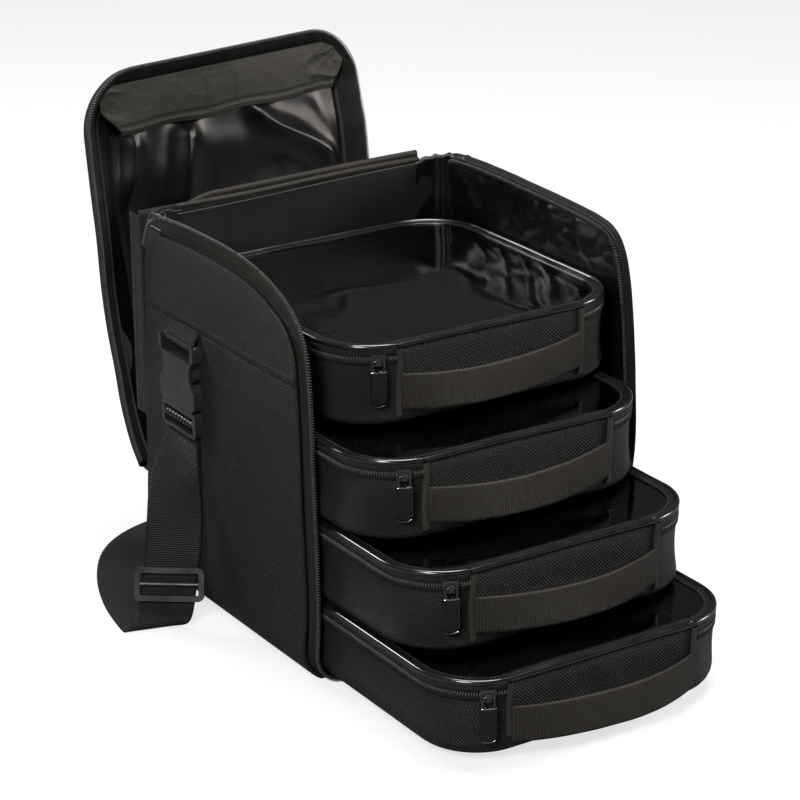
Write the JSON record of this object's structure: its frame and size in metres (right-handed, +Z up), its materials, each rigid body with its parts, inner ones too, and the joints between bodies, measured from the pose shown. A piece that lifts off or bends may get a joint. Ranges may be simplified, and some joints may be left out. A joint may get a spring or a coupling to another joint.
{
  "type": "rolling makeup case",
  "caption": "Soft-sided black make-up case standing open: zipped clear-topped pouches pulled out in steps like drawers, padded cover thrown back, buckled shoulder strap.",
  "frame": {"origin": "on the ground, under the middle of the case body", "axes": "+X across the width to the case's right as seen from the open front, -Y out of the open front, +Z up"},
  "size_m": [0.4962, 0.6708, 0.4453],
  "materials": {
    "case_fabric": "black polyester twill over thin padding",
    "satin_lining": "dark grey satin with soft folds",
    "zip_tape": "black herringbone zip tape with nylon coil",
    "webbing": "black ribbed webbing",
    "clear_vinyl": "clear glossy PVC sheet",
    "buckle_plastic": "dark grey moulded acetal, satin",
    "zip_plastic": "black enamelled slider and pull",
    "stiffening_board": "grey board, hidden between panel and lining"
  },
  "bodies": {
    "case": {"base_panel": "case_fabric", "base_board": "stiffening_board", "back_panel": "case_fabric", "side_panel_left": "case_fabric", "side_panel_right": "case_fabric", "body_lining": "satin_lining", "body_zip": "zip_tape", "hinge_welt": "case_fabric", "strap_tabs": "webbing", "buckle_shell_left": "buckle_plastic", "buckle_shell_right": "buckle_plastic", "buckle_plug_left": "buckle_plastic", "buckle_plug_right": "buckle_plastic", "strap_double_left": "webbing", "strap_adjuster": "buckle_plastic", "strap_long": "webbing"},
    "cover_top": {"cover_top_panel": "case_fabric", "cover_top_lining": "satin_lining", "cover_top_zip": "zip_tape"},
    "cover_front": {"cover_front_panel": "case_fabric", "cover_front_lining": "satin_lining", "cover_front_zip": "zip_tape"},
    "pouch_1": {"pouch_tray_1": "case_fabric", "pouch_zip_1": "zip_tape", "pouch_handle_1": "webbing", "pouch_lid_rim_1": "case_fabric", "pouch_window_1": "clear_vinyl"},
    "pouch_slider_1": {"pouch_slider_1": "zip_plastic"},
    "pouch_pull_1": {"pouch_pull_1": "zip_plastic"},
    "pouch_2": {"pouch_tray_2": "case_fabric", "pouch_zip_2": "zip_tape", "pouch_handle_2": "webbing", "pouch_lid_rim_2": "case_fabric", "pouch_window_2": "clear_vinyl"},
    "pouch_slider_2": {"pouch_slider_2": "zip_plastic"},
    "pouch_pull_2": {"pouch_pull_2": "zip_plastic"},
    "pouch_3": {"pouch_tray_3": "case_fabric", "pouch_zip_3": "zip_tape", "pouch_handle_3": "webbing", "pouch_lid_rim_3": "case_fabric", "pouch_window_3": "clear_vinyl"},
    "pouch_slider_3": {"pouch_slider_3": "zip_plastic"},
    "pouch_pull_3": {"pouch_pull_3": "zip_plastic"},
    "pouch_4": {"pouch_tray_4": "case_fabric", "pouch_zip_4": "zip_tape", "pouch_handle_4": "webbing"},
    "pouch_lid_4": {"pouch_lid_rim_4": "case_fabric", "pouch_window_4": "clear_vinyl"},
    "pouch_slider_4": {"pouch_slider_4": "zip_plastic"},
    "pouch_pull_4": {"pouch_pull_4": "zip_plastic"},
    "main_slider_left": {"main_slider_left": "zip_plastic"},
    "main_pull_left": {"main_pull_left": "zip_plastic"},
    "buckle_arm_left_front": {"buckle_arm_left_front": "buckle_plastic"},
    "buckle_arm_left_back": {"buckle_arm_left_back": "buckle_plastic"},
    "main_slider_right": {"main_slider_right": "zip_plastic"},
    "main_pull_right": {"main_pull_right": "zip_plastic"},
    "buckle_arm_right_front": {"buckle_arm_right_front": "buckle_plastic"},
    "buckle_arm_right_back": {"buckle_arm_right_back": "buckle_plastic"}
  },
  "joints": [
    {"name": "cover_hinge", "type": "hinge", "parent": "case", "child": "cover_top", "pos_m": [0, 0.1509, 0.3474], "axis": [1, 0, 0], "range_deg": [0, 120]},
    {"name": "cover_fold", "type": "hinge", "parent": "cover_top", "child": "cover_front", "pos_m": [0, 0.2049, 0.092], "axis": [-0.9836, -0.1805, 0], "range_deg": [0, 70]},
    {"name": "pouch_1_slide", "type": "slide", "parent": "case", "child": "pouch_1", "axis": [0, -1, 0], "range_m": [-0.1994, 0.09]},
    {"name": "pouch_1_zip", "type": "hinge", "parent": "pouch_1", "child": "pouch_slider_1", "pos_m": [-0.097, -0.2857, 0.0648], "axis": [0, 0, -1], "range_deg": [-10, 50]},
    {"name": "pouch_1_pull", "type": "hinge", "parent": "pouch_slider_1", "child": "pouch_pull_1", "pos_m": [-0.1243, -0.34425, 0.0648], "axis": [-0.9063, 0.4226, 0], "range_deg": [0, 100]},
    {"name": "pouch_2_slide", "type": "slide", "parent": "case", "child": "pouch_2", "axis": [0, -1, 0], "range_m": [-0.1434, 0.146]},
    {"name": "pouch_2_zip", "type": "hinge", "parent": "pouch_2", "child": "pouch_slider_2", "pos_m": [-0.095, -0.2297, 0.1371], "axis": [0, 0, -1], "range_deg": [-10, 50]},
    {"name": "pouch_2_pull", "type": "hinge", "parent": "pouch_slider_2", "child": "pouch_pull_2", "pos_m": [-0.1223, -0.28825, 0.1371], "axis": [-0.9063, 0.4226, 0], "range_deg": [0, 100]},
    {"name": "pouch_3_slide", "type": "slide", "parent": "case", "child": "pouch_3", "axis": [0, -1, 0], "range_m": [-0.0754, 0.214]},
    {"name": "pouch_3_zip", "type": "hinge", "parent": "pouch_3", "child": "pouch_slider_3", "pos_m": [-0.095, -0.1617, 0.2094], "axis": [0, 0, -1], "range_deg": [-10, 50]},
    {"name": "pouch_3_pull", "type": "hinge", "parent": "pouch_slider_3", "child": "pouch_pull_3", "pos_m": [-0.1223, -0.22025, 0.2094], "axis": [-0.9063, 0.4226, 0], "range_deg": [0, 100]},
    {"name": "pouch_4_slide", "type": "slide", "parent": "case", "child": "pouch_4", "axis": [0, -1, 0], "range_m": [-0.0044, 0.285]},
    {"name": "pouch_4_zip", "type": "hinge", "parent": "pouch_4", "child": "pouch_slider_4", "pos_m": [-0.074, -0.0907, 0.2817], "axis": [0, 0, -1], "range_deg": [-10, 50]},
    {"name": "pouch_4_pull", "type": "hinge", "parent": "pouch_slider_4", "child": "pouch_pull_4", "pos_m": [-0.1013, -0.14925, 0.2817], "axis": [-0.9063, 0.4226, 0], "range_deg": [0, 100]},
    {"name": "pouch_4_lid", "type": "hinge", "parent": "pouch_4", "child": "pouch_lid_4", "pos_m": [0.012, -0.1472, 0.2917], "axis": [1, 0, 0], "range_deg": [0, 170]},
    {"name": "main_zip_left", "type": "slide", "parent": "case", "child": "main_slider_left", "axis": [0, -1, 0], "range_m": [0, 0.19]},
    {"name": "main_pull_left", "type": "hinge", "parent": "main_slider_left", "child": "main_pull_left", "pos_m": [-0.1548, 0.1175, 0.3482], "axis": [0, -1, 0], "range_deg": [0, 100]},
    {"name": "buckle_arm_left_front_flex", "type": "hinge", "parent": "case", "child": "buckle_arm_left_front", "pos_m": [-0.1705, 0.0425, 0.1948], "axis": [-1, 0, 0], "range_deg": [0, 6], "stiffness_Nm_per_rad": 0.5},
    {"name": "buckle_arm_left_back_flex", "type": "hinge", "parent": "case", "child": "buckle_arm_left_back", "pos_m": [-0.1705, 0.0815, 0.1948], "axis": [1, 0, 0], "range_deg": [0, 6], "stiffness_Nm_per_rad": 0.5},
    {"name": "main_zip_right", "type": "slide", "parent": "case", "child": "main_slider_right", "axis": [0, -1, 0], "range_m": [0, 0.19]},
    {"name": "main_pull_right", "type": "hinge", "parent": "main_slider_right", "child": "main_pull_right", "pos_m": [0.1676, 0.1175, 0.3482], "axis": [0, -1, 0], "range_deg": [0, 100]},
    {"name": "buckle_arm_right_front_flex", "type": "hinge", "parent": "case", "child": "buckle_arm_right_front", "pos_m": [0.1705, 0.0425, 0.1948], "axis": [-1, 0, 0], "range_deg": [0, 6], "stiffness_Nm_per_rad": 0.5},
    {"name": "buckle_arm_right_back_flex", "type": "hinge", "parent": "case", "child": "buckle_arm_right_back", "pos_m": [0.1705, 0.0815, 0.1948], "axis": [1, 0, 0], "range_deg": [0, 6], "stiffness_Nm_per_rad": 0.5}
  ],
  "couplings": [
    {"joint": "buckle_arm_left_back_flex", "follows": "buckle_arm_left_front_flex", "ratio": 1},
    {"joint": "buckle_arm_right_back_flex", "follows": "buckle_arm_right_front_flex", "ratio": 1}
  ]
}
